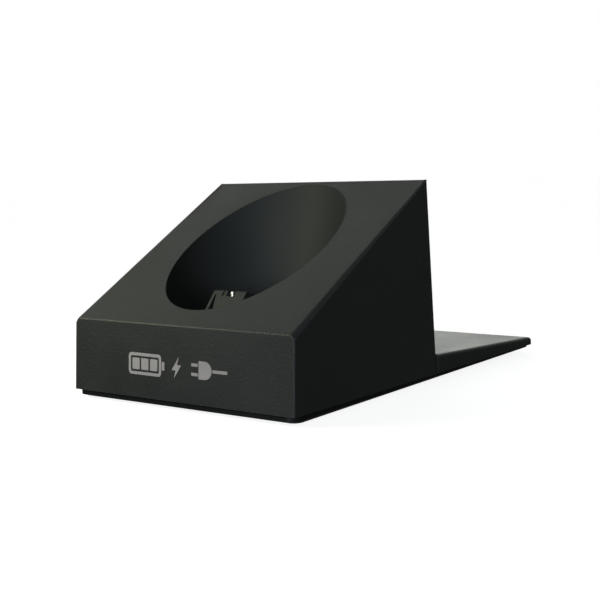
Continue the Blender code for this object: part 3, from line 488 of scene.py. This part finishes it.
MARK_HEIGHT = 6.1 * MM
MARK_MIDDLE_Z = 9.4 * MM  # above the housing's lower edge, up the front face
MARK_THICKNESS = 0.05 * MM
MARK_STROKE = 0.85 * MM
MARK_HALF_WIDTH = 18.0 * MM
FRONT_LEAN = math.radians(3.35)  # of the front face, back from upright
BATTERY_RIGHT = -5.6 * MM
BATTERY_BARS = 3
BAR_GAP = 0.6 * MM
PLUG_LEFT = 8.0 * MM
PLUG_RIGHT = 12.6 * MM
PLUG_HALF_HEIGHT = 0.8  # of half the mark's height, like the next
PRONG_PLACE = 0.42
PRONG_LEFT = 5.4 * MM
PLUG_GAP = 0.25 * MM
STROKE_CORNER = 0.2 * MM


def arc(centre, radius, start, end, steps=6):
    """Points round a centre, from one angle to another in degrees."""
    turns = [math.radians(start + (end - start) * i / steps) for i in range(steps + 1)]
    return [(centre[0] + radius * math.cos(t), centre[1] + radius * math.sin(t)) for t in turns]


def rounded_rectangle(low, high, radius):
    """Its outline, from the lower right corner round to the lower left."""
    (x0, y0), (x1, y1) = low, high
    return (
        arc((x1 - radius, y0 + radius), radius, -90, 0)
        + arc((x1 - radius, y1 - radius), radius, 0, 90)
        + arc((x0 + radius, y1 - radius), radius, 90, 180)
        + arc((x0 + radius, y0 + radius), radius, 180, 270)
    )


def add_plate(bm, outline, thickness):
    """A flat shape with a little thickness; its back is at z = 0."""
    low = [bm.verts.new((x, y, 0)) for x, y in outline]
    high = [bm.verts.new((x, y, thickness)) for x, y in outline]
    bm.faces.new(reversed(low))
    bm.faces.new(high)
    for i in range(len(low)):
        j = (i + 1) % len(low)
        bm.faces.new((low[i], low[j], high[j], high[i]))


def add_frame(bm, outer, inner, thickness):
    """A flat ring between two outlines with equal counts of points."""
    rings = [
        [bm.verts.new((x, y, z)) for x, y in outline]
        for outline, z in ((inner, 0), (outer, 0), (outer, thickness), (inner, thickness))
    ]
    count = len(outer)
    for a, b in zip(rings, rings[1:] + rings[:1]):
        for i in range(count):
            j = (i + 1) % count
            bm.faces.new((a[i], a[j], b[j], b[i]))


def add_battery(bm):
    """A battery outline with its terminal, and three bars of charge."""
    half = MARK_HEIGHT / 2
    left, right = -MARK_HALF_WIDTH, BATTERY_RIGHT
    outer = rounded_rectangle((left, -half), (right, half), 1.1 * MM)
    inner_low = (left + MARK_STROKE, MARK_STROKE - half)
    inner = rounded_rectangle(inner_low, (right - MARK_STROKE, half - MARK_STROKE), 0.4 * MM)
    add_frame(bm, outer, inner, MARK_THICKNESS)
    nub = rounded_rectangle((right + 0.2 * MM, -1.2 * MM), (right + 1.2 * MM, 1.2 * MM), 0.3 * MM)
    add_plate(bm, nub, MARK_THICKNESS)
    room = right - left - 2 * MARK_STROKE
    width = (room - BAR_GAP * (BATTERY_BARS + 1)) / BATTERY_BARS
    for i in range(BATTERY_BARS):
        x = left + MARK_STROKE + BAR_GAP + i * (width + BAR_GAP)
        low = (x, MARK_STROKE + BAR_GAP - half)
        bar = rounded_rectangle(low, (x + width, half - MARK_STROKE - BAR_GAP), 0.15 * MM)
        add_plate(bm, bar, MARK_THICKNESS)


def add_bolt(bm):
    """A lightning bolt, in millimetres across and half mark heights up."""
    half = MARK_HEIGHT / 2
    bolt = [(0.9, 1.0), (-1.7, -0.25), (-0.25, -0.25), (-0.9, -1.0), (1.7, 0.25), (0.25, 0.25)]
    add_plate(bm, [(x * MM, y * half) for x, y in bolt], MARK_THICKNESS)


def add_plug(bm):
    """A plug with a round back, two prongs and a short length of cord."""
    half = MARK_HEIGHT / 2
    round_back = PLUG_HALF_HEIGHT * half
    body = (
        [(PLUG_LEFT, -round_back)]
        + arc((PLUG_RIGHT - round_back, 0), round_back, -90, 90, 10)
        + [(PLUG_LEFT, round_back)]
    )
    add_plate(bm, body, MARK_THICKNESS)
    for y in (-PRONG_PLACE * half, PRONG_PLACE * half):
        low = (PRONG_LEFT, y - MARK_STROKE / 2)
        high = (PLUG_LEFT - PLUG_GAP, y + MARK_STROKE / 2)
        add_plate(bm, rounded_rectangle(low, high, STROKE_CORNER), MARK_THICKNESS)
    low = (PLUG_RIGHT + PLUG_GAP, -MARK_STROKE / 2)
    high = (MARK_HALF_WIDTH, MARK_STROKE / 2)
    add_plate(bm, rounded_rectangle(low, high, STROKE_CORNER), MARK_THICKNESS)


def make_pictogram(look):
    """Battery, lightning bolt and plug, side by side, as generic signs for charging."""
    bm = bmesh.new()
    add_battery(bm)
    add_bolt(bm)
    add_plug(bm)
    bmesh.ops.recalc_face_normals(bm, faces=bm.faces[:])
    mesh = bpy.data.meshes.new("charging_pictogram")
    bm.to_mesh(mesh)
    bm.free()
    mesh.materials.append(look)
    sign = bpy.data.objects.new("charging_pictogram", mesh)
    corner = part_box("upper_housing")[0]
    turn = Matrix.Rotation(math.pi / 2 - FRONT_LEAN, 4, "X")
    face_y = corner.y + MARK_MIDDLE_Z * math.tan(FRONT_LEAN)
    sign.matrix_world = Matrix.Translation((0, face_y, corner.z + MARK_MIDDLE_Z)) @ turn
    bpy.context.scene.collection.objects.link(sign)
    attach(sign, "stand")


make_camera()
make_world()
make_lamps()
make_floor()
looks = dress_nodes()
make_springs(looks["spring_steel"])
make_pictogram(printed_ink("printed_ink"))
